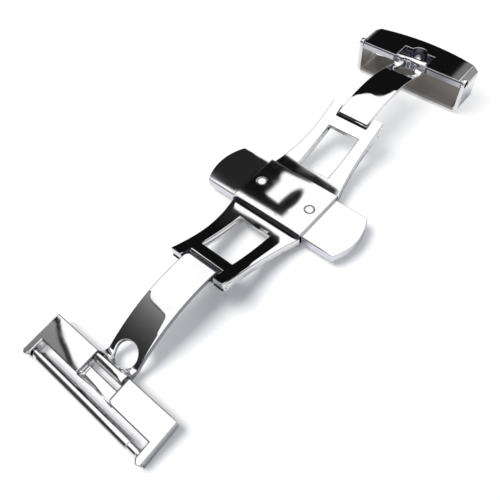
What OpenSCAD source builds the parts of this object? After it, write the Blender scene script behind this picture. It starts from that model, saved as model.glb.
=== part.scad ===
// Two-button deployant clasp for a leather watch strap.
// Millimetres, +Z up (the wrist side), X along the clasp, Y across it.
// Origin: middle of the flat underside of the centre block.
// The clasp is drawn fully opened, as it lies on a table: the near half lies
// towards -X and ends in two lugs with a spring bar, the far half lies
// towards +X and ends in a strap loop.

/* [Frame] */
// Distance from the middle of the clasp to each fold pin
fold_x = 15.94; // [15.6:0.02:16.6]
// Radius of the wing tops
frame_r = 39; // [37:0.5:42]
// Thickness of the wings between their rails
web_t = 0.7; // [0.6:0.05:0.8]
// Thickness of the wings' side rails
rail_t = 1.4; // [1.3:0.05:1.6]
// Width over the hinge ears
ear_w = 8.5; // [8.1:0.05:9]
// Length of the centre block
block_l = 8.5; // [8.4:0.05:9]
// Width of the centre block
block_w = 11.2; // [11:0.05:12]
// Length of each window in the wings
window_l = 7.1; // [6.6:0.05:7.4]
// Thickness of the cover plate
cover_t = 0.55; // [0.45:0.05:0.8]

/* [Blades] */
// Distance between the two pins of a blade
blade_len = 15.4; // [15.2:0.02:15.5]
// Width of the blades
blade_w = 4.8; // [4.6:0.05:5]
// Thickness of the blades
blade_t = 0.6; // [0.5:0.02:0.65]
// Diameter of the latch hole
latch_d = 3.1; // [3:0.05:3.3]

/* [Buttons] */
// Width of each button along the clasp
button_w = 7.8; // [7.2:0.05:7.9]
// How far each button stands out of the block
button_out = 6.05; // [5:0.05:7]
// Thickness of the buttons
button_t = 1.3; // [1.1:0.05:1.35]
// Travel of each button
button_travel = 0.5; // [0.4:0.02:0.54]

/* [Lug end] */
// Gap between the lugs, for an 18 mm strap
lug_gap = 18.2; // [17.8:0.05:20.2]
// Thickness of each lug across the clasp
lug_w = 1.02; // [0.95:0.01:1.4]
// Thickness of the end plate
end_t = 1.64; // [1.6:0.02:1.8]
// Diameter of the spring bar's tube
bar_d = 1.44; // [1.3:0.02:1.5]
// Length of the spring bar's tube
bar_l = 15.4; // [14:0.1:15.6]

/* [Loop end] */
// Width over the strap loop
loop_w = 18.2; // [17:0.1:20]
// Height of the strap loop's end, top plate and loop together
loop_h = 5.8; // [5.6:0.05:6.2]
// Depth of the base plate at its two ends
loop_d = 4.3; // [4.1:0.05:4.8]
// Bulge of the base plate's far edge
loop_bulge = 1.25; // [0.8:0.05:1.5]
// Diameter of the peg that goes into the strap
peg_d = 1.5; // [1.2:0.05:1.8]

/* [Pins] */
// Diameter of the fold pins and hinge pins
pin_d = 0.8; // [0.7:0.02:0.84]
// Radial clearance of a pin in the piece that turns on it
run_gap = 0.04; // [0.02:0.01:0.08]
// Clearance of the blades and slides at their sides
side_gap = 0.15; // [0.1:0.01:0.2]

/* [Hidden] */
eps = 0.01;
// heights over the block's underside
proud = 0.3;                              // the latch hooks stand this far below it
wing_mid = 1.6;                           // wing top at the middle of the clasp
floor_lo = 0.88;
floor_hi = 1.18;
cover_lo = 2.03;
cover_hi = cover_lo + cover_t;
function wing_z(x) = wing_mid + frame_r - sqrt(frame_r * frame_r - x * x);
fold_drop = 0.93;
fold_z = wing_z(fold_x) - fold_drop;
ear_r = 0.82;                             // of the ears round the fold pins
channel_w = blade_w + 2 * side_gap;       // of the hinge gaps and the blades' channel
window_x0 = 6.3;
pin_r = pin_d / 2;
eye_r = 0.72;                             // of the blades' knuckles at their free ends
knuckle_r = 0.86;
// blade profile, with the fold pin at 0,0 and the end pin at blade_len,0
arc_r = 21.5;
arc_start = 1.041;                        // outer face over the fold pin
arc_end = -1.211;                         // the same arc's height at the end pin
arc_chord = norm([blade_len, arc_end - arc_start]);
arc_drop = sqrt(arc_r * arc_r - arc_chord * arc_chord / 4);
arc_u = blade_len / 2 + arc_drop * (arc_end - arc_start) / arc_chord;
arc_w = (arc_start + arc_end) / 2 - arc_drop * blade_len / arc_chord;
flat_w = arc_end + 0.161;
hole_u = blade_len - 2.1;
near_tilt = 9.7;
far_tilt = 3.45;
near_pin = [-fold_x - blade_len * cos(near_tilt), 0, fold_z - blade_len * sin(near_tilt)];
far_pin = [fold_x + blade_len * cos(far_tilt), 0, fold_z + blade_len * sin(far_tilt)];
// end plate, with the hinge pin at 0,0 and its wrist side at plate_top
plate_top = 0.5;
plate_edge = -0.5;
slot_k = 2.9;
tip_k = 5.3;
gap_k = 1.38;
web_drop = 0.8;
end_tilt = asin(min(0.2, (near_pin[2] + proud + (plate_top - end_t)) / tip_k));
end_w = lug_gap + 2 * lug_w;
bar_k = 4.42;
bar_h = plate_top - 0.75;
bar_y = 0.3;                              // the tube lies a little off the middle
tip_d = 0.8;
tip_seat = 0.7;                           // how far the tips stand into the lugs
collar_d = 1.06;
bore_d = 1.1;                             // inside the tube
tip_tail = 2.2;                           // how far the tips reach into the tube
bar_coil_r = 0.4;
bar_wire_r = 0.1;
button_coil_r = 0.27;
button_wire_r = 0.06;
// strap loop
base_t = 1.12;
wall_t = 0.6;
band_t = 0.95;
base_top = far_pin[2] + plate_top;
base_lo = base_top - base_t;
loop_lo = base_top - loop_h;
seat_gap = 0.02;
base_notch = 2.4;                         // depth of the base plate's notch
peg_k = 2;
seat_r = 1.3;
stem_r = 0.35;                            // of the peg, through the base plate
// buttons and slides
slide_lo = floor_hi + 0.05;
slide_hi = cover_lo - 0.05;
cap_y = 5.0;
pocket_y = cap_y - button_travel - 0.2;     // the cap's room behind it
slide_y = button_travel + 0.15;            // a pressed slide stops short of the middle
hook_x0 = 2.4;
hook_x1 = 3.5;
hook_y1 = 1.25;
head_y = 1.85;
rivet_y = 4.05;
rivet_r = 0.4;
rivet_head_r = 0.6;
post_y0 = 1.5;
post_y1 = 1.9;
spring_y1 = 3.2;

steel = [0.80, 0.81, 0.83];
dark_steel = [0.16, 0.16, 0.18];
spring_steel = [0.62, 0.63, 0.66];

// A flat outline of X and Z, made as wide as w across Y
module across(w, y = 0) {
    translate([0, y + w / 2, 0]) rotate([90, 0, 0]) linear_extrude(height = w) children();
}

// A round bar along Y from y0 to y1, at x, z
module bar_y(r, x, z, y0, y1) {
    translate([x, y0, z]) rotate([-90, 0, 0]) cylinder(r = r, h = y1 - y0, $fn = 48);
}

// A coil of n turns along Y, from y0 to y1, drawn as one tube
module coil(coil_r, wire_r, y0, y1, n) {
    steps = 12;
    sides = 6;
    rings = n * steps;
    pts = [for (i = [0 : rings]) let (a = 360 * i / steps,
            y = y0 + wire_r + (y1 - y0 - 2 * wire_r) * i / rings)
        for (j = [0 : sides - 1]) let (b = 360 * j / sides)
            [(coil_r + wire_r * cos(b)) * cos(a), y + wire_r * sin(b), (coil_r + wire_r * cos(b)) * sin(a)]];
    quads = [for (i = [0 : rings - 1]) for (j = [0 : sides - 1]) let (k = (j + 1) % sides)
        each [[i * sides + j, (i + 1) * sides + j, (i + 1) * sides + k], [i * sides + j, (i + 1) * sides + k, i * sides + k]]];
    polyhedron(points = pts, faces = concat([[for (j = [0 : sides - 1]) j]], quads,
        [[for (j = [sides - 1 : -1 : 0]) rings * sides + j]]), convexity = 10);
}

// Half width of a wing at x, waisted between the block and the ears
wing_end = 13.4;
function wing_w(x) = x > wing_end ? ear_w / 2 :
    ear_w / 2 + (block_w / 2 - ear_w / 2) * pow((wing_end - x) / (wing_end - block_l / 2), 2);

module wing_plan() {
    xs = [for (i = [0 : 14]) block_l / 2 - 0.5 + (wing_end - block_l / 2 + 0.5) * i / 14];
    x1 = fold_x + ear_r;
    polygon(concat([for (x = xs) [x, wing_w(max(x, block_l / 2))]], [[x1, ear_w / 2], [x1, -ear_w / 2]],
        [for (i = [14 : -1 : 0]) [xs[i], -wing_w(max(xs[i], block_l / 2))]]));
}

// One wing, towards +X
module wing() {
    mid_z = wing_mid + frame_r;
    difference() {
        union() {
            intersection() {
                linear_extrude(height = 12) wing_plan();
                translate([0, 10, mid_z]) rotate([90, 0, 0]) difference() {
                    cylinder(r = frame_r + rail_t, h = 20, $fn = 180);
                    translate([0, 0, -1]) cylinder(r = frame_r, h = 22, $fn = 180);
                }
            }
            // ears round the fold pin
            for (s = [-1, 1]) bar_y(ear_r, fold_x, fold_z, s > 0 ? channel_w / 2 : -ear_w / 2,
                s > 0 ? ear_w / 2 : -channel_w / 2);
        }
        // channel for the folded blade, under the web
        intersection() {
            translate([0, -channel_w / 2, -1]) cube([fold_x + 3, channel_w, 14]);
            translate([0, 10, mid_z]) rotate([90, 0, 0]) difference() {
                cylinder(r = frame_r + 8, h = 20, $fn = 180);
                translate([0, 0, -1]) cylinder(r = frame_r + web_t, h = 22, $fn = 180);
            }
        }
        // window and hinge gap
        translate([window_x0, -channel_w / 2 + 0.05, -1]) cube([window_l, channel_w - 0.1, 12]);
        translate([fold_x - knuckle_r - 0.08, -channel_w / 2, -1]) cube([4, channel_w, 14]);
        bar_y(pin_r, fold_x, fold_z, -10, 10);
        // the ears' top edges are broken
        translate([fold_x + ear_r + 0.12, -10, wing_z(fold_x) + 0.28]) rotate([0, 45, 0])
            cube([0.7, 20, 0.7], center = false);
    }
}

module main_frame() color(steel) {
    difference() {
        union() {
            wing();
            mirror([1, 0, 0]) wing();
            translate([-block_l / 2, -block_w / 2, 0]) cube([block_l, block_w, cover_lo]);
            // small tooth at the near window
            translate([-window_x0 + 0.02, -1.75, wing_z(window_x0) - 0.3]) cube([0.35, 0.9, 0.48]);
        }
        // channel for the blade ends, parted by a rib in the middle
        for (s = [-1, 1]) translate([s > 0 ? 0.35 : -block_l / 2 - 1, -channel_w / 2, -1])
            cube([block_l / 2 + 0.65, channel_w, floor_lo + 1]);
        // room for the slides, and for the buttons where they come in
        translate([-hook_x1 - 0.1, -block_w / 2 - 1, floor_hi])
            cube([2 * hook_x1 + 0.2, block_w + 2, cover_lo]);
        for (s = [-1, 1]) translate([-button_w / 2 - 0.05, s > 0 ? pocket_y : -block_w / 2 - 1, slide_hi - button_t - 0.05])
            cube([button_w + 0.1, block_w / 2 + 1 - pocket_y, 4]);
        // slots for the hooks
        for (s = [-1, 1]) translate([s > 0 ? hook_x0 - 0.1 : -hook_x1 - 0.1, -hook_y1 - 0.1, -1])
            cube([hook_x1 - hook_x0 + 0.2, 2 * hook_y1 + 0.2, 4]);
        for (s = [-1, 1]) translate([0, s * rivet_y, 0.2]) cylinder(r = rivet_r, h = 4, $fn = 40);
    }
    // posts that the button springs push on
    for (s = [-1, 1]) translate([-0.45, s > 0 ? post_y0 : -post_y1, floor_hi - eps])
        cube([0.9, post_y1 - post_y0, cover_lo - floor_hi - 0.04]);
}

module cover_plate() color(dark_steel) difference() {
    l = block_l - 0.3;
    translate([-l / 2, -block_w / 2, cover_lo]) cube([l, block_w, cover_t]);
    for (s = [-1, 1]) translate([0, s * rivet_y, 0]) {
        cylinder(r = rivet_r, h = 5, $fn = 40);
        translate([0, 0, cover_hi - 0.25]) cylinder(r = rivet_head_r, h = 1, $fn = 40);
    }
}

// Rivet from the cover down into the block
module rivet(s) color(steel) translate([0, s * rivet_y, 0]) {
    translate([0, 0, 0.2]) cylinder(r = rivet_r, h = cover_hi - 0.4, $fn = 40);
    translate([0, 0, cover_hi - 0.25]) cylinder(r = rivet_head_r, h = 0.23, $fn = 40);
}
module rivet_left() rivet(1);
module rivet_right() rivet(-1);

// Fold pin through both ears, flush with their sides
module fold_pin(s) color(steel) bar_y(pin_r, s * fold_x, fold_z, -ear_w / 2, ear_w / 2);
module fold_pin_near() fold_pin(-1);
module fold_pin_far() fold_pin(1);

// Button with its rounded outer edge
module button() {
    r = 7.46;
    y1 = block_w / 2 + button_out;
    difference() {
        translate([0, 0, slide_hi - button_t]) linear_extrude(height = button_t) intersection() {
            translate([-button_w / 2, cap_y]) square([button_w, 20]);
            translate([0, y1 - r]) circle(r = r, $fn = 96);
        }
        // slot for the slide's tail
        translate([-2.5, cap_y - 1, slide_lo]) cube([5, 2.2, 0.45]);
    }
}
module button_left() color(dark_steel) button();
module button_right() color(steel) mirror([0, 1, 0]) button();

// Slide plate under the cover, with a tail in the button
module slide() difference() {
    union() {
        translate([-hook_x1, slide_y, slide_lo]) cube([2 * hook_x1, cap_y - slide_y, slide_hi - slide_lo]);
        translate([-2.5, cap_y - eps, slide_lo]) cube([5, 1.2, 0.45]);
    }
    // seats of the hooks
    for (s = [-1, 1]) translate([s > 0 ? hook_x0 : -hook_x1 - 1, slide_y - 1, 0])
        cube([hook_x1 - hook_x0 + 1, hook_y1 - slide_y + 1, 5]);
    // window for the spring and its post, and slot for the rivet
    translate([-0.55, post_y0 - 0.05, 0]) cube([1.1, spring_y1 - post_y0 + 0.05, 5]);
    translate([-rivet_r - 0.08, rivet_y - rivet_r - 0.1, 0]) cube([2 * rivet_r + 0.16, cap_y, 5]);
}
module slide_left() color(steel) slide();
module slide_right() color(steel) mirror([0, 1, 0]) slide();

// Latch hook: a leg through the block's floor with a toe that grips the blade
module hook() across_x(hook_x0, hook_x1) polygon([[slide_y, -proud], [head_y - 0.25, -proud],
    [head_y, -proud + 0.17], [head_y, 0], [hook_y1, 0], [hook_y1, slide_hi], [slide_y, slide_hi]]);

// A flat outline of Y and Z, from x0 to x1
module across_x(x0, x1) {
    translate([x0, 0, 0]) rotate([90, 0, 90]) linear_extrude(height = x1 - x0) children();
}
module hook_left_far() color(steel) hook();
module hook_left_near() color(steel) mirror([1, 0, 0]) hook();
module hook_right_far() color(steel) mirror([0, 1, 0]) hook();
module hook_right_near() color(steel) mirror([1, 0, 0]) mirror([0, 1, 0]) hook();

// Spring that pushes a button out, between the post and the slide
module button_spring(s) color(spring_steel) translate([0, 0, (slide_lo + slide_hi) / 2])
    mirror([0, s > 0 ? 0 : 1, 0]) coil(button_coil_r, button_wire_r, post_y1, spring_y1, 4);
module button_spring_left() button_spring(1);
module button_spring_right() button_spring(-1);

// Blade drawn with its fold pin at 0,0, towards +X
module blade() {
    function top_w(u) = arc_w + sqrt(arc_r * arc_r - (u - arc_u) * (u - arc_u));
    u0 = -0.45;
    u1 = blade_len - 0.75;
    difference() {
        union() {
            across(blade_w) difference() {
                intersection() {
                    translate([arc_u, arc_w]) circle(r = arc_r, $fn = 240);
                    polygon([[u0, -0.2], [u0, 3], [u1, 3], [u1, flat_w], [blade_len / 2, flat_w], [blade_len / 2, 0]]);
                }
                translate([arc_u, arc_w]) circle(r = arc_r - blade_t, $fn = 240);
            }
            // knuckle on the fold pin, under the strip's end
            across(blade_w) union() {
                circle(r = knuckle_r, $fn = 48);
                polygon([[u0, 0], [u0, top_w(u0) - 0.02], [1.5, top_w(1.5) - 0.02], [0.8, 0.3]]);
            }
            // knuckle on the end pin
            across(blade_w) union() {
                translate([blade_len, 0]) circle(r = eye_r, $fn = 48);
                polygon([[blade_len - 1.5, flat_w], [blade_len - 0.1, flat_w], [blade_len + 0.45, -0.56],
                    [blade_len - 0.68, 0.2], [blade_len - 0.9, -0.2], [blade_len - 1.5, top_w(blade_len - 1.5) - 0.02]]);
            }
        }
        bar_y(pin_r + run_gap, 0, 0, -5, 5);
        bar_y(pin_r + run_gap, blade_len, 0, -5, 5);
        translate([hole_u, 0, -4]) cylinder(r = latch_d / 2, h = 8, $fn = 64);
    }
}
module blade_far() color(steel) translate([fold_x, 0, fold_z]) rotate([0, -far_tilt, 0]) blade();
module blade_near() color(steel) mirror([1, 0, 0]) translate([fold_x, 0, fold_z]) rotate([0, near_tilt, 0]) blade();

// Notch for the blade's end, as both end pieces have it: k runs away from the pin
module notch(k1, lo) {
    w = blade_w + 2 * side_gap;
    translate([plate_edge - 1, -w / 2, -3]) cube([gap_k - plate_edge + 1, w, 6]);
    translate([plate_edge - 1, -w / 2, lo]) cube([k1 - plate_edge + 1, w, 6]);
}

// End plate drawn with its hinge pin at 0,0, towards +X
module end_piece() {
    w = end_w / 2;
    r = 0.8;
    difference() {
        intersection() {
            translate([0, 0, plate_top - end_t]) linear_extrude(height = end_t) difference() {
                union() {
                    translate([plate_edge, -w]) square([tip_k - r - plate_edge, end_w]);
                    for (s = [-1, 1]) translate([tip_k - r, s > 0 ? w - lug_w : -w]) square([r - 0.3, lug_w]);
                    for (s = [-1, 1]) translate([tip_k - 0.45, s * (w - 0.45)]) circle(r = 0.45, $fn = 40);
                }
                translate([slot_k, -lug_gap / 2]) square([10, lug_gap]);
            }
            // underside rounds up towards both sides
            across(end_w + 1) polygon([[plate_edge, plate_top], [tip_k, plate_top], [tip_k, plate_top - end_t + 0.12],
                [tip_k - 0.3, plate_top - end_t], [plate_edge + 0.5, plate_top - end_t], [plate_edge, plate_top - end_t + 0.5]]);
        }
        notch(slot_k + 1, plate_top - web_drop);
        // the plate's corners beside the web are round
        for (s = [-1, 1]) mirror([0, s > 0 ? 0 : 1, 0]) translate([slot_k - 0.6, blade_w / 2 + side_gap, -eps - 0.3])
            difference() {
                cube([0.7, 0.6, 3]);
                translate([0, 0.6, -1]) cylinder(r = 0.6, h = 5, $fn = 40);
            }
        bar_y(pin_r, 0, 0, -blade_w / 2 - 1.4, blade_w / 2 + 1.4);
        bar_y(tip_d / 2 + run_gap, bar_k, bar_h, -lug_gap / 2 - tip_seat - 0.05, lug_gap / 2 + tip_seat + 0.05);
    }
}
// Places what is drawn with the near hinge pin at 0,0
module at_near() mirror([1, 0, 0]) translate([-near_pin[0], 0, near_pin[2]]) rotate([0, end_tilt, 0]) children();

module end_plate() color(steel) at_near() end_piece();
module end_pin() color(steel) at_near() bar_y(pin_r, 0, 0, -blade_w / 2 - 1.4, blade_w / 2 + 1.4);

module bar_tube() color(steel) at_near() difference() {
    bar_y(bar_d / 2, bar_k, bar_h, bar_y - bar_l / 2, bar_y + bar_l / 2);
    bar_y(bore_d / 2, bar_k, bar_h, bar_y - bar_l / 2 - 1, bar_y + bar_l / 2 + 1);
}
// Tip of the spring bar: point in the lug, collar, and a tail in the tube
module bar_tip(s) color(steel) at_near() {
    end = lug_gap / 2;
    tube = bar_l / 2 + s * bar_y;
    mirror([0, s > 0 ? 0 : 1, 0]) {
        bar_y(tip_d / 2, bar_k, bar_h, end - 0.4, end + tip_seat);
        bar_y(collar_d / 2, bar_k, bar_h, tube - tip_tail, end - 0.35);
    }
}
module bar_tip_left() bar_tip(1);
module bar_tip_right() bar_tip(-1);
module bar_spring() color(spring_steel) at_near() translate([bar_k, 0, bar_h])
    coil(bar_coil_r, bar_wire_r, bar_y - bar_l / 2 + tip_tail, bar_y + bar_l / 2 - tip_tail, 14);

// Outline of the base plate and its loop from above, from the near edge on
module base_plan() {
    w = loop_w / 2;
    r = (w * w + loop_bulge * loop_bulge) / (2 * loop_bulge);
    intersection() {
        translate([plate_edge, -w]) square([loop_d + loop_bulge + 1, loop_w]);
        translate([plate_edge + loop_d + loop_bulge - r, 0]) circle(r = r, $fn = 200);
    }
}
// Places what is drawn with the far hinge pin at 0,0
module at_far() translate(far_pin) children();

module base_plate() color(dark_steel) at_far() {
    w = loop_w / 2;
    lo = plate_top - base_t;
    base_floor = lo + 0.5;
    ear = 0.9;
    difference() {
        intersection() {
            translate([0, 0, lo]) linear_extrude(height = base_t) base_plan();
            across_x(-3, 10) polygon([[-w, lo], [w, lo], [w, plate_top - 0.55], [w - 1, plate_top],
                [-w + 1, plate_top], [-w, plate_top - 0.55]]);
        }
        notch(base_notch, base_floor);
        // round seat of the peg's head
        translate([peg_k, 0, base_floor - 0.3]) cylinder(r = seat_r, h = 3, $fn = 64);
        // groove along the near edge
        translate([plate_edge - 1, -w - 1, plate_top - 0.26]) cube([1.14, 2 * w + 2, 0.12]);
        // the loop's ears stand in the two near corners
        for (s = [-1, 1]) translate([plate_edge - 1, s > 0 ? w - wall_t - 0.05 : -w - 1, lo - 1])
            cube([ear - plate_edge + 1, wall_t + 1.05, 4]);
        bar_y(pin_r, 0, 0, -w - 1, w + 1);
        translate([peg_k, 0, lo - 1]) cylinder(r = stem_r, h = 3, $fn = 40);
    }
}
module hinge_pin_far() color(steel) at_far() bar_y(pin_r, 0, 0, -loop_w / 2, loop_w / 2);

// Peg under the base plate
module strap_peg() color(steel) at_far() {
    lo = plate_top - base_t;
    translate([peg_k, 0, lo]) cylinder(r = stem_r, h = 0.3, $fn = 40);
    translate([peg_k, 0, lo + 0.2]) cylinder(r1 = 0.6, r2 = 0.34, h = 0.3, $fn = 40);
    translate([peg_k, 0, lo - 1.3]) cylinder(r = peg_d / 2, h = 1.3, $fn = 48);
    translate([peg_k, 0, lo - 1.6]) cylinder(r1 = peg_d / 2 - 0.25, r2 = peg_d / 2, h = 0.3, $fn = 48);
}

// Strap loop: two walls and a band below, turning on the far hinge pin
module strap_loop() color(steel) at_far() {
    w = loop_w / 2;
    lo = plate_top - loop_h;
    hi = plate_top - base_t - seat_gap;
    r = 1.3;
    ear = 0.62;
    difference() {
        union() {
            intersection() {
                translate([0, 0, lo]) linear_extrude(height = hi - lo) base_plan();
                across_x(-3, 10) difference() {
                    union() {
                        translate([-w, lo + r]) square([loop_w, hi - lo - r]);
                        translate([-w + r, lo]) square([loop_w - 2 * r, r + eps]);
                        for (s = [-1, 1]) translate([s * (w - r), lo + r]) circle(r = r, $fn = 64);
                    }
                    translate([-w + wall_t, lo + band_t + 0.6]) square([loop_w - 2 * wall_t, 10]);
                    translate([-w + wall_t + 0.6, lo + band_t]) square([loop_w - 2 * wall_t - 1.2, 10]);
                    for (s = [-1, 1]) translate([s * (w - wall_t - 0.6), lo + band_t + 0.6])
                        circle(r = 0.6, $fn = 40);
                }
            }
            // ears on the pin
            for (s = [-1, 1]) mirror([0, s > 0 ? 0 : 1, 0]) {
                bar_y(ear, 0, 0, w - wall_t, w);
                translate([plate_edge, w - wall_t, hi - 0.3]) cube([1.12, wall_t, 0.3 - hi]);
            }
        }
        bar_y(pin_r + run_gap, 0, 0, -w - 1, w + 1);
    }
}

main_frame();
cover_plate();
rivet_left();
rivet_right();
fold_pin_near();
fold_pin_far();
button_left();
button_right();
slide_left();
slide_right();
hook_left_near();
hook_left_far();
hook_right_near();
hook_right_far();
button_spring_left();
button_spring_right();
blade_near();
blade_far();
end_plate();
end_pin();
bar_tube();
bar_tip_left();
bar_tip_right();
bar_spring();
base_plate();
hinge_pin_far();
strap_peg();
strap_loop();
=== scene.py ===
# %% [markdown]
# # A two-button deployant clasp in polished steel
#
# The clasp lies opened on a white table, with the side that touches the wrist
# facing up. The solids come ready from the CAD frame, in metres and in their
# places, so this lesson is about what makes turned and stamped steel look
# real: broken edges, a mirror polish that isn't perfect, and surroundings
# that are worth reflecting.

# %% Load the frame
import math
import bpy
from mathutils import Matrix, Vector

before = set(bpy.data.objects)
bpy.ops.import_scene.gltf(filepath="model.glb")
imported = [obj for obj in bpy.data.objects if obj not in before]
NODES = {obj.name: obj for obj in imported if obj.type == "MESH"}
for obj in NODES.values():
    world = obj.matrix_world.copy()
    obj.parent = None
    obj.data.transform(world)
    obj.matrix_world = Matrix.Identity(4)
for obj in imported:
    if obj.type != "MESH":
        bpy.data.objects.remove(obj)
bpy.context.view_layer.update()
MM = 0.001

# %% [markdown]
# ## The camera
# A close-up lens a few centimetres above the table makes the near lugs look
# larger than the far loop. A camera could be turned by three angles. Here its
# eye point and three directions at right angles place it instead, because
# they say plainly where it looks and become the columns of its matrix.

# %% Place the camera
EYE = Vector((-36.539, -29.102, 57.039)) * MM
RIGHT = Vector((0.6495, -0.7583, -0.0556)).normalized()
LOOK = Vector((0.4032, 0.4056, -0.8203)).normalized()
UP = RIGHT.cross(LOOK).normalized()
RIGHT = LOOK.cross(UP)
SENSOR_MM = 36.0
LENS_IN_FRAMES = 531.23 / 500

lens = bpy.data.cameras.new("view")
lens.sensor_width = SENSOR_MM
lens.lens = LENS_IN_FRAMES * SENSOR_MM
lens.clip_start = 2 * MM
camera = bpy.data.objects.new("view", lens)
camera.matrix_world = Matrix((
    (RIGHT.x, UP.x, -LOOK.x, EYE.x),
    (RIGHT.y, UP.y, -LOOK.y, EYE.y),
    (RIGHT.z, UP.z, -LOOK.z, EYE.z),
    (0, 0, 0, 1)))
bpy.context.scene.collection.objects.link(camera)
bpy.context.scene.camera = camera
print("lens of", round(lens.lens, 2), "mm at", [round(v / MM, 1) for v in EYE])

# %% [markdown]
# ## Formulas for nodes
# A finish is a formula over the surface, and in a node tree every plus and
# every times of it is a Math node. Linking them by hand is slow to write and
# hard to read back. A small class that stands for one number in a node tree
# lets the formulas be written as formulas, and adds the nodes itself.

# %% Write node formulas as plain arithmetic
def connect(tree, source, socket):
    """Links a Value or an output to a socket, or fills the socket with a number or colour."""
    if isinstance(source, Value):
        source = source.source
    if isinstance(source, bpy.types.NodeSocket):
        tree.links.new(source, socket)
    else:
        socket.default_value = source


class Value:
    """A number in a node tree: + - * and the methods below add Math nodes."""

    def __init__(self, tree, source):
        self.tree, self.source = tree, source

    def node(self, operation, *others):
        """Adds a Math node that takes this value first and the others after it."""
        math_node = self.tree.nodes.new("ShaderNodeMath")
        math_node.operation = operation
        for socket, source in zip(math_node.inputs, (self, *others)):
            connect(self.tree, source, socket)
        return Value(self.tree, math_node.outputs[0])

    def __add__(self, other):
        return self.node("ADD", other)

    def __sub__(self, other):
        return self.node("SUBTRACT", other)

    def __mul__(self, other):
        return self.node("MULTIPLY", other)

    def most(self, other):
        """The larger of the two."""
        return self.node("MAXIMUM", other)

    def least(self, other):
        """The smaller of the two."""
        return self.node("MINIMUM", other)

    def size(self):
        """The value without its sign."""
        return self.node("ABSOLUTE")

    def short_of(self, goal):
        """The goal minus the value."""
        return self * -1.0 + goal

    def step(self, low, high):
        """0 up to low, 1 from high on, and smooth between them. It falls where high is the smaller."""
        ramp = self.tree.nodes.new("ShaderNodeMapRange")
        ramp.interpolation_type = "SMOOTHSTEP"
        ramp.inputs["From Min"].default_value = low
        ramp.inputs["From Max"].default_value = high
        self.tree.links.new(self.source, ramp.inputs["Value"])
        return Value(self.tree, ramp.outputs["Result"])

    def between(self, low, rise, fall, high):
        """0 up to low, 1 from rise to fall, and 0 again from high on."""
        return self.step(low, rise) * self.step(high, fall)


print("a Value knows", [name for name in vars(Value) if not name.startswith("_")])

# %% [markdown]
# ### Formulas made of formulas
# Distances, blends and edges that run in steps come up again and again on
# these pieces. Each could be a node group, but a Python function that adds
# the few nodes is as short as the formula itself.

# %% Write the common formulas
def across(a, b):
    """The length of a way with the sides a and b: the square root of a * a + b * b."""
    return (a * a + b * b).node("SQRT")


def blend(first, second, mask):
    """first where mask is 0, second where it is 1."""
    return first + (second - first) * mask


def stairs(value, level, steps):
    """level, plus a smooth step for each row of steps: where it starts, where it ends, its rise."""
    for start, end, rise in steps:
        level = value.step(start, end) * rise + level
    return level


def split(tree, vector):
    """X, Y and Z of a vector output, as Values."""
    parts = tree.nodes.new("ShaderNodeSeparateXYZ")
    tree.links.new(vector, parts.inputs[0])
    return [Value(tree, parts.outputs[i]) for i in range(3)]


def coordinates(tree, kind="Object"):
    """X, Y and Z of the object's own coordinates in metres, or of its normal."""
    return split(tree, tree.nodes.new("ShaderNodeTexCoord").outputs[kind])


print("formulas:", across.__name__, blend.__name__, stairs.__name__)

# %% [markdown]
# ## Small helpers for materials
# A material could be a copy of another one with changes, but a copy carries
# nodes along that it doesn't need. Here each material starts from nothing.
# A few helpers do what all of them share: an empty material, a new node with
# its inputs filled, a mix of two shaders, the output, and a flat sheet that
# holds a material, for the table and the cards.

# %% Start materials, nodes and flat sheets
def new_material(name):
    """A node material that holds only its output; gives it and its node tree."""
    material = bpy.data.materials.new(name)
    material.use_nodes = True
    tree = material.node_tree
    tree.nodes.clear()
    tree.nodes.new("ShaderNodeOutputMaterial")
    return material, tree


def put(tree, kind, **values):
    """A new shader node. Names with in_ fill or link its inputs, other names set its properties."""
    node = tree.nodes.new("ShaderNode" + kind)
    for key, value in values.items():
        if key.startswith("in_"):
            connect(tree, value, node.inputs[key[3:].replace("_", " ")])
        else:
            setattr(node, key, value)
    return node


def mix_shaders(tree, share, first, second):
    """The first shader where share is 0, the second where it is 1."""
    mix = put(tree, "MixShader")
    for socket, source in zip(mix.inputs, (share, first, second)):
        connect(tree, source, socket)
    return mix.outputs[0]


def show(tree, shader):
    """Gives a shader to the material's output."""
    tree.links.new(shader, tree.nodes["Material Output"].inputs["Surface"])


def flat_sheet(name, x0, x1, y0, y1, z, material):
    """A level rectangle at height z, in metres."""
    mesh = bpy.data.meshes.new(name)
    mesh.from_pydata([(x0, y0, z), (x1, y0, z), (x1, y1, z), (x0, y1, z)], [], [(0, 1, 2, 3)])
    mesh.materials.append(material)
    sheet = bpy.data.objects.new(name, mesh)
    bpy.context.scene.collection.objects.link(sheet)
    return sheet


print("materials so far:", len(bpy.data.materials))

# %% [markdown]
# ## The table
# The clasp lies on plain white paper, a little below the origin, because the
# latch hooks stand out of the block's underside and carry it. Paper could be
# lit until it is as white as in a bright photograph, but the steel would be
# lit with it. So only rays from the camera see it turn to pure white further
# away, while the steel's reflections find it ending in a dark room. On the way
# there the camera sees it painted paler away from the near wing, a painted
# fading of the clasp's shadow. From below, and where a folded clasp hangs
# under it, the camera looks through.

# %% Make the table
TABLE_Z = -0.32 * MM
TABLE_HALF = 1.2
PAPER, WHITE, DARK_ROOM = (0.96, 0.965, 0.98, 1), (1, 1, 1, 1), (0.06, 0.06, 0.07, 1)
MIDDLE, NEAR_WING = (0, 0, 0), (-0.017, -0.009, 0)
# Which rays see it, around which point, from and up to how many metres away, how much, and the colour.
PLAIN_PARTS = (("Is Glossy Ray", MIDDLE, 0.06, 0.11, 1.0, DARK_ROOM),
               # Around the near wing the camera sees the paper painted paler step by step, up to 70 %: a
               # painted fading of the clasp's shadow.
               ("Is Camera Ray", NEAR_WING, 0.004, 0.052, 0.7, WHITE),
               ("Is Camera Ray", MIDDLE, 0.07, 0.15, 1.0, WHITE))
DEEPEST_PIECE = 0.02


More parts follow.
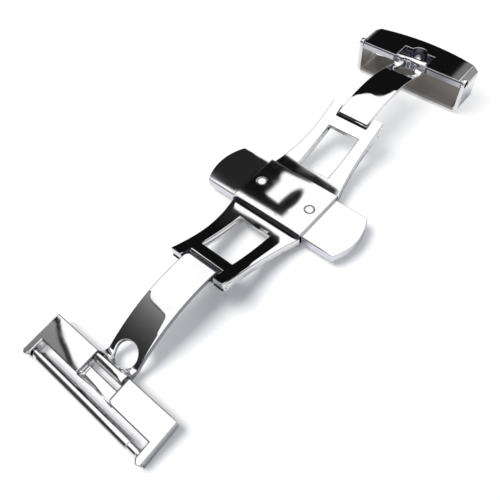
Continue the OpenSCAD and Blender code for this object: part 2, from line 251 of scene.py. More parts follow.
def table_material():
    """White paper that keeps the clasp's soft shadow near the near wing; away from it the camera sees it
    painted paler, a painted fading of the shadow, then blended into plain colours further away.

    The camera looks through it from below, and from above where something hangs under it, as the
    ends of a closed clasp do: there the light that reaches the paper's underside falls under 99 %."""
    material, tree = new_material("table white")
    rays = put(tree, "LightPath").outputs
    where = put(tree, "TexCoord").outputs["Object"]
    shader = put(tree, "BsdfDiffuse", in_Color=PAPER, in_Roughness=0.4).outputs[0]
    for ray, middle, start, end, most, colour in PLAIN_PARTS:
        away = put(tree, "VectorMath", operation="DISTANCE")
        tree.links.new(where, away.inputs[0])
        away.inputs[1].default_value = middle
        far = put(tree, "MapRange", in_Value=away.outputs["Value"], in_From_Min=start,
                  in_From_Max=end, in_To_Max=most)
        share = Value(tree, far.outputs["Result"]) * rays[ray]
        plain = put(tree, "Emission", in_Color=colour).outputs[0]
        shader = mix_shaders(tree, share, shader, plain)
    below = put(tree, "AmbientOcclusion", samples=16, inside=True, in_Distance=DEEPEST_PIECE)
    filled = put(tree, "MapRange", in_Value=below.outputs["AO"], in_From_Min=0.99, in_From_Max=0.90)
    underside = put(tree, "NewGeometry").outputs["Backfacing"]
    through = Value(tree, filled.outputs["Result"]).most(underside) * rays["Is Camera Ray"]
    show(tree, mix_shaders(tree, through, shader, put(tree, "BsdfTransparent").outputs[0]))
    return material


table = flat_sheet("table", -TABLE_HALF, TABLE_HALF, -TABLE_HALF, TABLE_HALF, TABLE_Z, table_material())
print("table at", TABLE_Z / MM, "mm")

# %% [markdown]
# ## The surroundings
# Polished steel has hardly a colour of its own: it shows what is around it.
# A photographer hangs black, grey and white cards around such a piece to draw
# its light and dark parts, and here six of them hang over the clasp. A large
# black one on the right blackens the left button, the wings and the far end.
# A grey one on the left greys the near blade and one lug, and another the
# slopes that face the front. Two small white ones and a small black one, low
# over the steel, trim the edges of the black. An image of a studio could do
# it too, but cards are placed where they are needed and read no file. Only
# reflections see them.

# %% Write a card
WHITE_CARD = 1.15


def card(name, height, x0, x1, y0, y1, pattern):
    """A flat card over the clasp, in millimetres.

    pattern(x, y) gives its cover, from 0 for clear to 1, and its brightness."""
    material, tree = new_material(name)
    x, y = coordinates(tree)[:2]
    cover, level = pattern(x * (1 / MM), y * (1 / MM))
    glow = put(tree, "Emission", in_Strength=level).outputs[0]
    show(tree, mix_shaders(tree, cover, put(tree, "BsdfTransparent").outputs[0], glow))
    piece = flat_sheet(name, x0 * MM, x1 * MM, y0 * MM, y1 * MM, height * MM, material)
    piece.visible_camera = piece.visible_diffuse = False
    piece.visible_shadow = piece.visible_transmission = False


print("a white card glows at", WHITE_CARD)

# %% [markdown]
# ### Three large cards
# The edge of a black card draws the line between dark and light on polished
# steel. A straight edge would only bend as the steel does. So the card's own
# edge runs in steps, each of them placed where one face of the clasp mirrors
# it. A mirrored point is found by following a ray from the camera.

# %% Hang the large cards
def right_pattern(x, y):
    """Black above an edge that runs in steps, with a finger over the cover, a band for the far wing
    and a corner for the loop end. It is a little lighter where the buttons mirror it."""
    edge = stairs(x, 41.0, ((53.0, 54.8, 11.0), (62.0, 66.0, 1.5), (67.4, 69.0, -10.5),
                            (69.0, 80.0, -3.2), (112.0, 135.0, -14.0)))
    start = x.step(49.2, 50.0).most(x.step(48.8, 49.1) * y.step(61.2, 61.6))
    dark = (y - edge).step(-1.1, 1.1) * start
    finger_x, finger_y = (x - 57.0) * (1 / 7.5), (y - 43.6) * (1 / 2.5)
    finger = (finger_x * finger_x + finger_y * finger_y).step(1.4, 0.65)
    band = (x + y * 0.105 - 42.5).step(-0.4, 0.4) * x.step(45.5, 45.0) * y.step(27.0, 29.5)
    corner = x.between(136.0, 140.0, 158.0, 162.0) * y.step(20.0, 22.0)
    buttons = y.step(60.5, 62.5) * x.step(122.0, 90.0)
    level = buttons * 0.0135 + corner * y.step(30.6, 28.6) * 0.19 + 0.0055
    return dark.most(finger).most(band).most(corner), level


def left_pattern(x, y):
    """Grey on the left of a slanting edge, with a black line along it.

    Outwards the grey halves every 32 mm."""
    edge = stairs(y, -110.0, ((58.0, 68.0, 37.0), (66.0, 75.0, 8.0), (73.0, 85.0, 5.0),
                              (84.0, 100.0, 5.0), (97.0, 110.0, 6.0)))
    inside = edge - x
    grey = ((x + 60.0) * (math.log(2) / 32.0)).node("EXPONENT") * 0.24 + 0.018
    line = (inside - 1.6).size().step(2.4, 1.0)
    return inside.step(-0.5, 0.5), grey.least(0.32) * (line * 0.97).short_of(1.0)


def front_pattern(x, y):
    """Plain grey, for the slopes that face the front."""
    return x.step(110.0, 150.0), 0.30


card("right dark card", 90, 30, 1500, 15, 1500, right_pattern)
card("left grey card", 140, -420, -30, 50, 420, left_pattern)
card("front grey card", 90, 100, 600, -500, -25, front_pattern)
print("three large cards hung")

# %% [markdown]
# ### Three small cards
# What one large card does for a face can be wrong for its neighbour. More
# steps in its edge would mend that, but a small card close to the one face
# is easier to place, as a photographer does it with a strip of paper.

# %% Hang the small cards
def near_wing_pattern(x, y):
    """White along the block, up to an edge that turns outwards at the front."""
    edge = stairs(y, 38.6, ((29.0, 35.0, 0.4), (36.0, 38.5, -0.9), (22.5, 25.5, -0.3), (21.6, 19.8, 14.0)))
    return (edge - x).step(-0.25, 0.25) * y.step(39.0, 38.0), WHITE_CARD


def far_blade_pattern(x, y):
    """White under an edge that falls in one long S."""
    edge = stairs(x, 6.7, ((23.4, 28.2, -4.6),))
    return (edge - y).step(-0.35, 0.35).most(x.step(23.6, 23.0)), WHITE_CARD


def black_pattern(x, y):
    """Black all over."""
    return 1.0, 0.004


card("near wing card", 45, 36.1, 56, 12, 40, near_wing_pattern)
card("far blade card", 14, 16.8, 34, -1, 9, far_blade_pattern)
card("block card", 9, -9.5, -5.2, -8, 14, black_pattern)
print("three small cards hung")

# %% [markdown]
# ## The tent
# Steel is photographed in a tent of white cloth. It could be modelled as a
# dome around the table, but the world does the same and never stands in the
# camera's way. Its even light is kept low, because the paper would clip
# otherwise. What the camera and the reflections see is set apart from that
# light: pure white behind the object, and in reflections a white roof that
# ends in a dim room below.

# %% Make the white tent
SKY = 0.42
SKY_COLOUR = (0.90, 0.94, 1, 1)
ROOF_STARTS, ROOF_FULL = 0.20, 0.46
ROOF_GLOW, ROOM_GLOW = 1.15, 0.27

world = bpy.data.worlds.new("studio")
bpy.context.scene.world = world
world.use_nodes = True
studio = world.node_tree
studio.nodes.clear()
rays = put(studio, "LightPath").outputs
mirrored = Value(studio, rays["Is Glossy Ray"])
upwards = split(studio, put(studio, "TexCoord").outputs["Generated"])[2]
room = upwards.step(ROOF_STARTS, ROOF_FULL).short_of(1.0) * mirrored
glow = room * (ROOM_GLOW - ROOF_GLOW) + 1.0 + mirrored * (ROOF_GLOW - 1.0)
tent = put(studio, "Background", in_Color=SKY_COLOUR, in_Strength=SKY).outputs[0]
seen = put(studio, "Background", in_Color=WHITE, in_Strength=glow).outputs[0]
mixed = mix_shaders(studio, mirrored.most(rays["Is Camera Ray"]), tent, seen)
studio.links.new(mixed, put(studio, "OutputWorld").inputs["Surface"])
bpy.context.scene.view_settings.view_transform = "Standard"
print("sky of", SKY)

# %% [markdown]
# ## The lamp
# One round lamp, high on the left, gives the soft shadow on the table. A sun
# lamp would be simpler, but the shadow of a softbox gets wider and paler away
# from the steel, as it does in a studio. Reflections don't see the lamp,
# because the cards and the tent already give all that the steel shows.

# %% Hang the lamp
LAMP_WATTS = 2.05
LAMP_AT = Vector((-0.13, 0.16, 0.42))

lamp_data = bpy.data.lights.new("softbox", "AREA")
lamp_data.shape = "DISK"
lamp_data.size = 0.28
lamp_data.color = (1.0, 0.98, 0.95)
lamp_data.energy = LAMP_WATTS
lamp = bpy.data.objects.new("softbox", lamp_data)
towards_clasp = (-LAMP_AT).to_track_quat("-Z", "Y").to_matrix().to_4x4()
lamp.matrix_world = Matrix.Translation(LAMP_AT) @ towards_clasp
lamp.visible_glossy = False
bpy.context.scene.collection.objects.link(lamp)
print("lamp of", LAMP_WATTS, "W at", list(LAMP_AT))

# %% [markdown]
# ## Broken edges
# No edge of the real clasp is sharp. The buffing wheel takes a tenth or two
# of a millimetre off each, and that narrow band is what catches the light.
# The Bevel modifier rounds edges without a change to the CAD mesh, but it
# treats all of them alike, and the curved faces keep their flat facets. So three
# small geometry node trees help it: one says how much each edge takes, one
# makes the faces smooth, and one turns the normals on the long arcs.

# %% Weigh the edges
def geometry_tree(name, *numbers):
    """An empty geometry node tree; gives it, its two end nodes, and its number inputs as Values."""
    tree = bpy.data.node_groups.new(name, "GeometryNodeTree")
    tree.interface.new_socket("Geometry", in_out="INPUT", socket_type="NodeSocketGeometry")
    for number in numbers:
        tree.interface.new_socket(number, in_out="INPUT", socket_type="NodeSocketFloat")
    tree.interface.new_socket("Geometry", in_out="OUTPUT", socket_type="NodeSocketGeometry")
    start, end = tree.nodes.new("NodeGroupInput"), tree.nodes.new("NodeGroupOutput")
    return tree, start, end, {number: Value(tree, start.outputs[number]) for number in numbers}


def edge_weights():
    """Stores the bevel weight of each edge: 0 on soft ones, else Inner near a place or Outer.

    An edge is sharp where its faces turn by more than Angle. It counts as inner when its middle is
    less than Reach from one of the two upright axes at Place X and plus or minus Place Y."""
    tree, start, end, given = geometry_tree("edge weights", "Angle", "Place X", "Place Y", "Reach",
                                            "Inner", "Outer")
    x, y = split(tree, tree.nodes.new("GeometryNodeInputPosition").outputs[0])[:2]
    turn = Value(tree, tree.nodes.new("GeometryNodeInputMeshEdgeAngle").outputs["Unsigned Angle"])
    sharp = turn.node("GREATER_THAN", given["Angle"])
    away = across(x - given["Place X"], y.size() - given["Place Y"])
    inner = away.node("LESS_THAN", given["Reach"])
    weight = sharp * blend(given["Outer"], given["Inner"], inner)
    store = tree.nodes.new("GeometryNodeStoreNamedAttribute")
    store.data_type, store.domain = "FLOAT", "EDGE"
    store.inputs["Name"].default_value = "bevel_weight_edge"
    tree.links.new(start.outputs["Geometry"], store.inputs["Geometry"])
    tree.links.new(weight.source, store.inputs["Value"])
    tree.links.new(store.outputs["Geometry"], end.inputs[0])
    return tree


WEIGHTS = edge_weights()
print("geometry tree:", WEIGHTS.name)

# %% [markdown]
# ### Smooth faces
# The CAD meshes come flat shaded, so a curved face would mirror the studio in
# facets. After the bevel every edge is a small curve of its own, so all faces
# can be smooth. Shade Smooth from the menu would change the mesh itself, and
# a tree among the modifiers does the same without touching it.

# %% Smooth the faces
def smooth_faces():
    """Marks every face as smooth."""
    tree, start, end, _ = geometry_tree("smooth faces")
    shade = tree.nodes.new("GeometryNodeSetShadeSmooth")
    tree.links.new(start.outputs["Geometry"], shade.inputs["Geometry"])
    tree.links.new(shade.outputs["Geometry"], end.inputs[0])
    return tree


SMOOTH = smooth_faces()
print("geometry tree:", SMOOTH.name)

# %% [markdown]
# ### True arcs
# The blades and the wings are bent to long arcs, which mirror the edge of a
# card as one clean line. Normals averaged from the triangles make that line
# wavy. Finer triangles would help, but the CAD mesh stays as it is. The axes
# of the arcs are known from the drawing, so their normals are worked out.

# %% Turn the normals on the arcs
ARC_NEAR = 0.02 * MM
ARC_AGREES = 0.9975


def true_arcs():
    """Turns the normals of faces on given arcs to point straight from the arcs' axis, which runs along Y.

    With d the way from the axis to a corner in X and Z, and r its length, a corner belongs to an arc
    when r is within 0.02 mm of its radius and the face looks along d. Its normal is then d / r."""
    tree, start, end, given = geometry_tree("true arcs", "Axis X", "Axis Z", "Radius 1", "Radius 2",
                                            "Radius 3")
    x, _, z = split(tree, tree.nodes.new("GeometryNodeInputPosition").outputs[0])
    normals = tree.nodes.new("GeometryNodeInputNormal")
    face_x, _, face_z = split(tree, normals.outputs["True Normal"])
    dx, dz = x - given["Axis X"], z - given["Axis Z"]
    r = across(dx, dz)
    ux, uz = dx.node("DIVIDE", r), dz.node("DIVIDE", r)
    off = [(r - given["Radius %d" % i]).size() for i in (1, 2, 3)]
    along = face_x * ux + face_z * uz
    on_radius = off[0].least(off[1]).least(off[2]).node("LESS_THAN", ARC_NEAR)
    on_arc = on_radius * along.size().node("GREATER_THAN", ARC_AGREES)
    sign = along.node("SIGN")
    radial = tree.nodes.new("ShaderNodeCombineXYZ")
    tree.links.new((ux * sign).source, radial.inputs[0])
    tree.links.new((uz * sign).source, radial.inputs[2])
    choose = tree.nodes.new("ShaderNodeMix")
    choose.data_type = "VECTOR"
    tree.links.new(on_arc.source, choose.inputs["Factor"])
    tree.links.new(normals.outputs["Normal"], choose.inputs[4])
    tree.links.new(radial.outputs[0], choose.inputs[5])
    turn = tree.nodes.new("GeometryNodeSetMeshNormal")
    turn.mode, turn.domain = "FREE", "CORNER"
    tree.links.new(start.outputs["Geometry"], turn.inputs["Mesh"])
    tree.links.new(choose.outputs[1], turn.inputs["Custom Normal"])
    tree.links.new(turn.outputs["Mesh"], end.inputs[0])
    return tree


ARCS = true_arcs()
print("geometry tree:", ARCS.name)

# %% [markdown]
# ### The modifiers
# The CAD meshes are loose triangles. Before the bevel, each large piece has
# its doubles merged and the lines across its flat faces dissolved, so that
# every edge left is a real one. Weighted normals come after it and keep the
# flat faces flat in a reflection. Pins, springs and other small pieces stay
# as they are, because at their size a broken edge wouldn't show.

# %% Write the stack of modifiers
MERGE_BELOW = 2e-6
FLAT_BELOW = math.radians(0.05)
SHARP_ABOVE = math.radians(28)


def add_tree(piece, name, tree, values):
    """Adds a geometry tree as a modifier, with its number inputs."""
    modifier = piece.modifiers.new(name, "NODES")
    modifier.node_group = tree
    numbers = [item for item in tree.interface.items_tree if item.in_out == "INPUT"][1:]
    for item, value in zip(numbers, values):
        modifier[item.identifier] = value


def soften(piece, width, arcs, rim):
    """Merges the loose triangles, drops the lines across flat faces and rounds each sharp edge."""
    weld = piece.modifiers.new("merge", "WELD")
    weld.merge_threshold = MERGE_BELOW
    flat = piece.modifiers.new("flatten", "DECIMATE")
    flat.decimate_type = "DISSOLVE"
    flat.angle_limit = FLAT_BELOW
    if rim:
        x, y, reach, inner, outer = rim
        add_tree(piece, "weights", WEIGHTS, (SHARP_ABOVE, x * MM, y * MM, reach * MM, inner, outer))
    edge = piece.modifiers.new("edges", "BEVEL")
    edge.width = width * MM
    edge.segments = 3
    edge.use_clamp_overlap = False
    edge.limit_method = "WEIGHT" if rim else "ANGLE"
    edge.angle_limit = SHARP_ABOVE
    add_tree(piece, "smooth", SMOOTH, ())
    even = piece.modifiers.new("normals", "WEIGHTED_NORMAL")
    even.weight = 100
    even.keep_sharp = True
    if arcs:
        add_tree(piece, "arcs", ARCS, [value * MM for value in arcs])


print("edges count as sharp from", round(math.degrees(SHARP_ABOVE)), "degrees on")

# %% [markdown]
# ### How much each piece takes
# The wheel takes most off the blades and the lug plate, and hardly anything
# off the base plate and the cover. One width for all would be simpler, but it
# would blunt those two. A blade's latch hole is dressed more than its sides,
# and a few short edges of the lug plate aren't dressed at all, so these three
# pieces get a weight for each edge.

# %% Soften the edges
# How wide each piece's broken edges are, in millimetres.
EDGES = {"main_frame": 0.16, "cover_plate": 0.09, "button_left": 0.16, "button_right": 0.16,
         "blade_near": 0.20, "blade_far": 0.20, "end_plate": 0.18, "base_plate": 0.05, "strap_loop": 0.12}
# The X and Z of the axis that a piece's curved faces share, and their three radii.
ARC_AXES = {"main_frame": (0, 40.6, 39, 40.4, 39.7),
            "blade_near": (-17.3157, -16.3641, 21.5, 20.9, 20.9),
            "blade_far": (21.9298, -15.5152, 21.5, 20.9, 20.9)}
# The X and Y of a place, a reach around it, and the shares of the width inside and outside that reach.
RIMS = {"blade_near": (-29.02, 0, 1.75, 1, 0.4),
        "blade_far": (29.23, 0, 1.75, 1, 0.4),
        "end_plate": (-33.4, 2.4, 0.45, 0, 1)}
for name, width in EDGES.items():
    soften(NODES[name], width, ARC_AXES.get(name), RIMS.get(name))
print("softened", len(EDGES), "nodes")

# %% [markdown]
# ## Steel
# All of it is one stainless steel, but each piece was finished in its own way:
# buffed on a wheel, milled, drawn or turned. The marks are shallow, so they go
# into the height of a Bump node and into the roughness. Effects that several
# finishes share are node groups with a few numbers each, built once and placed
# in each material with its own values.

# %% Write what the effects share
SURFACE = ("Height", "Roughness", "Tone")


def effect(name, numbers, outputs):
    """An empty shader group; numbers gives its inputs with their first values."""
    tree = bpy.data.node_groups.new(name, "ShaderNodeTree")
    for number, value in numbers.items():
        tree.interface.new_socket(number, in_out="INPUT", socket_type="NodeSocketFloat").default_value = value
    for output in outputs:
        tree.interface.new_socket(output, in_out="OUTPUT", socket_type="NodeSocketFloat")
    start, end = tree.nodes.new("NodeGroupInput"), tree.nodes.new("NodeGroupOutput")
    return tree, {n: Value(tree, start.outputs[n]) for n in numbers}, end


def give(tree, end, **values):
    """Links values to a group's outputs, and gives the group."""
    for name, value in values.items():
        connect(tree, value, end.inputs[name])
    return tree


def noise(tree, x, y, z, detail=2.0):
    """Cloudy values from 0 to 1. A cloud is about 1 wide, so x * 900 has nine hundred to a metre."""
    join = tree.nodes.new("ShaderNodeCombineXYZ")
    for socket, value in zip(join.inputs, (x, y, z)):
        connect(tree, value, socket)
    cloud = put(tree, "TexNoise", in_Scale=1.0, in_Detail=detail, in_Vector=join.outputs[0])
    return Value(tree, cloud.outputs["Fac"])


print("an effect gives", SURFACE)

# %% [markdown]
# ### What the buffing wheel leaves
# The wheel is soft cloth with polish on it. It leaves a mirror that is very
# slightly wavy, with hair lines along the clasp, and it sinks over the edges.
# A scanned texture of scratches could show the lines, but it would need
# unwrapped pieces. Noise that is stretched along X needs only coordinates.

# %% Build the buffed and the rolled effect
def buffed_group():
    """Buffing leaves slow waves, fine lines along the clasp, a few stray scratches and finger smudges."""
    tree, given, end = effect("buffed", {"Waves": 0.01, "Lines": 1.0, "Roughness": 0.03}, SURFACE)
    x, y, z = coordinates(tree)
    waves = (noise(tree, x * 170.0, y * 170.0, z * 170.0, 0.0) - 0.5) * given["Waves"] * (2 * MM)
    lines = noise(tree, x * 900.0, y * 16000.0, z * 16000.0)
    scratches = noise(tree, (x + y) * 14000.0, (x - y) * 420.0, z * 9000.0, 0.0).step(0.72, 0.78)
    smudges = noise(tree, x * 330.0, y * 240.0, z * 240.0, 3.0).step(0.52, 0.78)
    return give(tree, end,
                Height=waves + ((lines - 0.5) * 4.0e-8 - scratches * 1.2e-8) * given["Lines"],
                Roughness=(given["Roughness"] + lines * given["Lines"] * 0.015
                           + smudges * 0.03 + scratches * 0.015),
                Tone=smudges * 0.5 + lines * 0.3 + scratches * 0.2)


def rolled_group():
    """The buffing wheel rolls over an edge: with t = 1 - Distance / Reach, the slope is Slope * t * t."""
    tree, given, end = effect("rolled edge", {"Distance": 0.001, "Reach": 0.001, "Slope": 0.1}, ("Height",))
    t = given["Distance"].most(0.0).node("DIVIDE", given["Reach"]).short_of(1.0).most(0.0)
    return give(tree, end, Height=t * t * t * given["Reach"] * given["Slope"] * (-1 / 3))


BUFFED, ROLLED = buffed_group(), rolled_group()
print("effects:", BUFFED.name, ROLLED.name)

# %% [markdown]
# ### What the cutting tools leave
# A lathe cuts fine rings and a mill draws lines. Both could be modelled as
# grooves, but they are thousandths of a millimetre deep, so a sine wave and
# stretched noise in the bump height show them well enough.

# %% Build the turned and the milled effect
WHOLE_TURN = 2 * math.pi


def turned_group():
    """Tool marks of a lathe: rings of Pitch along Y on the round, and around the axis on the ends."""
    numbers = {"Axis X": 0.0, "Axis Z": 0.0, "Pitch": 0.0001, "Depth": 4e-7}
    tree, given, end = effect("turned", numbers, SURFACE)
    x, y, z = coordinates(tree)
    end_face = coordinates(tree, "Normal")[1].size().step(0.6, 0.8)
    along = blend(y, across(x - given["Axis X"], z - given["Axis Z"]), end_face)
    wobble = noise(tree, x * 2500.0, y * 2500.0, z * 2500.0)
    rings = (along.node("DIVIDE", given["Pitch"]) * WHOLE_TURN + wobble * 3.0).node("SINE")
    return give(tree, end,
                Height=rings * given["Depth"] * (wobble + 0.3),
                Roughness=rings * 0.02 + wobble * 0.08 + end_face * 0.1 + 0.05,
                Tone=wobble * 0.6 + end_face * 0.35)


def milled_group():
    """Milled or stamped inner steel: lines along X with a cloudy, slightly stained tone."""
    tree, given, end = effect("milled", {"Grain": 1.0}, SURFACE)
    x, y, z = coordinates(tree)
    lines = noise(tree, x * 500.0, y * 9000.0, z * 9000.0, 3.0)
    clouds = noise(tree, x * 600.0, y * 600.0, z * 600.0, 3.0)
    return give(tree, end,
                Height=(lines - 0.5) * given["Grain"] * 1.6e-6,
                Roughness=lines * 0.12 + clouds * 0.1 + 0.2,
                Tone=clouds * 0.6 + lines * 0.4)


TURNED, MILLED = turned_group(), milled_group()
print("effects:", TURNED.name, MILLED.name)

# %% [markdown]
# ### One recipe for every steel
# Bare steel is a metal shader whose colour is its reflection's tint. A finish
# is then a function that gives three things at each point: the height of its
# marks, how rough it is, and a tone between a light and a dark steel. The tone
# also holds the stains, grime and shade that gather where no wheel reaches.

# %% Write the recipe
def place(tree, group, **values):
    """Puts a group into a material, with numbers or Values for its inputs; gives its outputs by name."""
    node = tree.nodes.new("ShaderNodeGroup")
    node.node_tree = group
    for key, value in values.items():
        connect(tree, value, node.inputs[key.replace("_", " ")])
    return {output.name: Value(tree, output) for output in node.outputs}


def steel(name, light, dark, pattern):
    """Bare steel. pattern(tree) gives the height in metres, the roughness and the tone from light to dark."""
    material, tree = new_material(name)
    height, roughness, tone = pattern(tree)
    tint = put(tree, "Mix", data_type="RGBA")
    connect(tree, tone, tint.inputs["Factor"])
    tint.inputs[6].default_value, tint.inputs[7].default_value = (*light, 1), (*dark, 1)
    bump = put(tree, "Bump", in_Strength=1.0, in_Distance=1.0, in_Height=height)
    metal = put(tree, "BsdfPrincipled", in_Metallic=1.0, in_Base_Color=tint.outputs[2],
                in_Roughness=roughness, in_Normal=bump.outputs[0])
    show(tree, metal.outputs[0])
    return material


print("one recipe for", len(NODES), "nodes")

# %% [markdown]
# ### Buffed faces
# Most of what shows was held against a soft wheel. The wide faces come close
# to a mirror, and the side walls, which the wheel hardly meets, stay duller.
# The side walls are also painted darker as shade, and the broken edge between
# them is painted grey as shade, a painted dark outline. Each piece can add its
# own painted shade for hollows and joints. The wheel also rolls over an edge, in a
# slope too shallow to model, so it is part of the bump height. Each piece only
# says how far away its edges are.

# %% Make buffed faces with duller sides
def buffed_with_sides(tree, distance, reach, slope, waves=0.004, satin=1.0, edge_shade=1.0,
                      painted_shade_and_joints=0.0, wall_shade=0.45):
    """Buffed faces that roll over within reach of their edges, satin side walls painted darker as shade,
    and a broken edge between them painted grey as shade, where the normal leans by 33 to 78 degrees.
    The darkest of the painted wall shade, the painted edge shade and the given shade and joints counts."""
    buffed = place(tree, BUFFED, Waves=waves)
    rolled = place(tree, ROLLED, Distance=distance, Reach=reach, Slope=slope)
    milled = place(tree, MILLED, Grain=0.4)
    upright = coordinates(tree, "Normal")[2].size()
    # The tone is painted darker here: on side walls as shade, which the wall mask also makes duller, and on
    # broken edges as a grey painted outline.
    wall = upright.step(0.5, 0.25) * satin
    edge = upright.between(0.20, 0.30, 0.78, 0.84) * edge_shade
    return (buffed["Height"] + rolled["Height"] * upright.step(0.5, 0.8) + milled["Height"] * wall,
            blend(buffed["Roughness"], milled["Roughness"], wall * 0.5),
            (buffed["Tone"] * 0.1 + wall * wall_shade).most(edge).most(painted_shade_and_joints).least(1.0))


WHEEL_REACH = 1.2 * MM
print("the wheel rolls over within", WHEEL_REACH / MM, "mm of an edge")

# %% [markdown]
# ### The blades
# Both blades are strips of steel rolled to an arc, then buffed along their
# length. In the latch holes and around the hinges little light gets in, so
# these places are painted nearly black as shade, and the near blade has a fine
# painted dark line of shade along each edge. The shade could be held on the
# mesh, but a mask worked out from the coordinates keeps sharp borders and needs
# no texture.

# %% Finish the blades
BLADE_HALF = 2.4 * MM
KNUCKLE_END = 17.0 * MM


def blade_finish(slope, tip, lean, line):
    """Buffed. The latch hole and the hinge's knuckle are painted dark as shade, and so is a fine line along
    each edge.

    The knuckle lies within 17 mm of the middle, where the Z of the normal is under lean, and all of the
    blade that is within tip mm of the middle belongs to it, but no side wall. line is the strength of the
    painted line."""
    def pattern(tree):
        """The height, roughness and tone of the blade."""
        x, y = coordinates(tree)[:2]
        out, side = x.size(), y.size()
        ny, nz = coordinates(tree, "Normal")[1:]
        outer = side.step(1.7 * MM, 1.9 * MM)
        hole = nz.size().step(0.4, 0.2) * outer.short_of(1.0)
        knuckle = out.step(KNUCKLE_END + 0.2 * MM, KNUCKLE_END - 0.2 * MM) * nz.step(lean, lean - 0.1)
        leaf_end = out.step((tip + 0.05) * MM, (tip - 0.05) * MM)
        hinge = knuckle.most(leaf_end) * ny.size().step(0.6, 0.4)
        # Painted shade: the latch hole's walls, the hinge knuckle, and a fine line along each edge.
        painted_shade_and_joints = (hole * 0.92).most(hinge * 0.97).most(side.step(2.22 * MM, 2.34 * MM) * line)
        return buffed_with_sides(tree, side.short_of(BLADE_HALF), WHEEL_REACH, slope,
                                 edge_shade=outer * 0.65, painted_shade_and_joints=painted_shade_and_joints, wall_shade=0.15)
    return pattern


print("blades are", 2 * BLADE_HALF / MM, "mm wide")

# %% [markdown]
# ### The frame
# The frame is machined from one block and buffed only on the side that shows:
# its underside keeps the cutter's lines. Its wings narrow in a curve away from
# the block, and the slope at their edges has to follow it. The distance to an
# edge could be measured on the mesh, but the curve is known from the drawing,
# so the same formula gives it exactly.

# %% Finish the frame
WING_NARROW, WING_CURVE, WING_RISE, WING_HALF = 13.4 * MM, 9.15 * MM, 1.35 * MM, 4.25 * MM


def frame_finish(tree):
    """The wings roll over at their waisted sides, and the underside is milled.

    With t = (13.4 mm - |x|) / 9.15 mm, held between 0 and 1, a wing's half width is
    4.25 mm + 1.35 mm * t * t. Painted shade lies in the seam beside the cover, in the slots before the
    blades and on the hinge ears."""
    x, y, z = coordinates(tree)
    out, side = x.size(), y.size()
    nz = coordinates(tree, "Normal")[2]
    t = (out.short_of(WING_NARROW) * (1 / WING_CURVE)).most(0.0).least(1.0)
    half = t * t * WING_RISE + WING_HALF
    reach = x.step(1.0 * MM, -1.0 * MM) * (0.8 * MM) + 0.2 * MM
    # Masks where shade is painted: the seam beside the cover, the slot walls before the blades and the lower
    # hinge ears.
    seam = out.between(3.9 * MM, 4.0 * MM, 4.5 * MM, 4.62 * MM) * z.step(1.74 * MM, 1.80 * MM)
    slot = out.between(14.9 * MM, 14.96 * MM, 15.1 * MM, 15.2 * MM) * nz.step(0.8, 0.6)
    ear = out.step(16.66 * MM, 16.72 * MM) * z.step(4.5 * MM, 4.35 * MM) * 0.8
    painted_shade_and_joints = (seam * 0.97).most(slot * side.step(2.7 * MM, 2.6 * MM)).most(ear)
    height, rough, tone = buffed_with_sides(tree, half - side, reach, 0.16, waves=0.003,
                                            satin=out.step(4.4 * MM, 4.6 * MM), edge_shade=0.6,
                                            painted_shade_and_joints=painted_shade_and_joints, wall_shade=0.25)
    milled = place(tree, MILLED, Grain=1.0)
    under = nz.step(-0.2, -0.6)
    return (blend(height, milled["Height"], under), blend(rough, milled["Roughness"], under),
            blend(tone, milled["Tone"] * 0.6, under))


print("wings narrow to", round(2 * WING_HALF / MM, 2), "mm")

# %% [markdown]
# ### The cover, its rivets and the buttons
# The cover is a flat plate, pressed on and held by two rivets that were ground
# flush. The ring around each head is too narrow for a bevel, so it is a dip in
# the bump height with a dark line in it. A rivet's head keeps the fine rings of
# the grinding, and it is dished and tilted a little, which is why the two heads
# mirror other parts of the studio than the plate around them.

# %% Finish the cover, the rivets and the buttons
RIVET_Y = 4.05 * MM
COVER_HALF, BUTTON_HALF = 5.6 * MM, 3.9 * MM


def from_rivet(x, y):
    """How far a point is from the nearer rivet's axis."""
    return across(x, y.size() - RIVET_Y)


def cover_finish(tree):
    """Buffed right up to its edges, with a dip and a dark ring around each rivet, and side walls painted
    darker as shade.
    """
    x, y = coordinates(tree)[:2]
    ring = (from_rivet(x, y) - 0.62 * MM).size()
    # The side walls are painted darker as shade.
    side_wall_shade = coordinates(tree, "Normal")[1].size().step(0.6, 0.8) * 0.7
    groove = ring.step(0.16 * MM, 0.08 * MM) * 0.9
    height, rough, tone = buffed_with_sides(tree, y.size().short_of(COVER_HALF), 0.2 * MM, 0.10,
                                            satin=0.0, edge_shade=0.0, painted_shade_and_joints=groove.most(side_wall_shade))
    return height + ring.step(0.0, 0.16 * MM) * 8.0e-5, rough, tone


def rivet_finish(tree):
    """Rings around the upright axis of a head that was ground flat, a little off square, and then dished."""
    x, y, z = coordinates(tree)
    radius = from_rivet(x, y)
    rings = (radius * (WHOLE_TURN / (0.05 * MM))).node("SINE")
    cloud = noise(tree, x * 3000.0, y * 3000.0, z * 3000.0)
    tilt, dish = y * 0.16, radius * radius * (0.04 / MM)
    rim = radius.step(0.50 * MM, 0.60 * MM) * 6.0e-5
    return tilt + dish - rim + rings * 5.0e-8, rings * 0.02 + cloud * 0.1 + 0.08, cloud


def button_finish(tree):
    """Buffed. The wheel rolls over only the last 0.3 mm beside each long side."""
    x = coordinates(tree)[0]
    # By default the side walls are painted darker and the broken edges grey, as shade.
    return buffed_with_sides(tree, x.size().short_of(BUTTON_HALF), 0.3 * MM, 0.10,
                             waves=0.003, edge_shade=0.6)


print("rivets at Y", RIVET_Y / MM, "mm and its mirror")

# %% [markdown]
# ### The two ends
# The lug end and the loop end are stamped, bent and buffed. The notches around
# their hinges are cut afterwards, and their broken edges and hollows are
# painted darker as shade, as are the lug's outer walls. Inside the loop, where
# only tumbling stones reach, the steel is dull, and it is painted dark and
# brownish as shade. These places are found by their coordinates, because each
# is one shape in the CAD with the face beside it, and one material has to
# finish both.

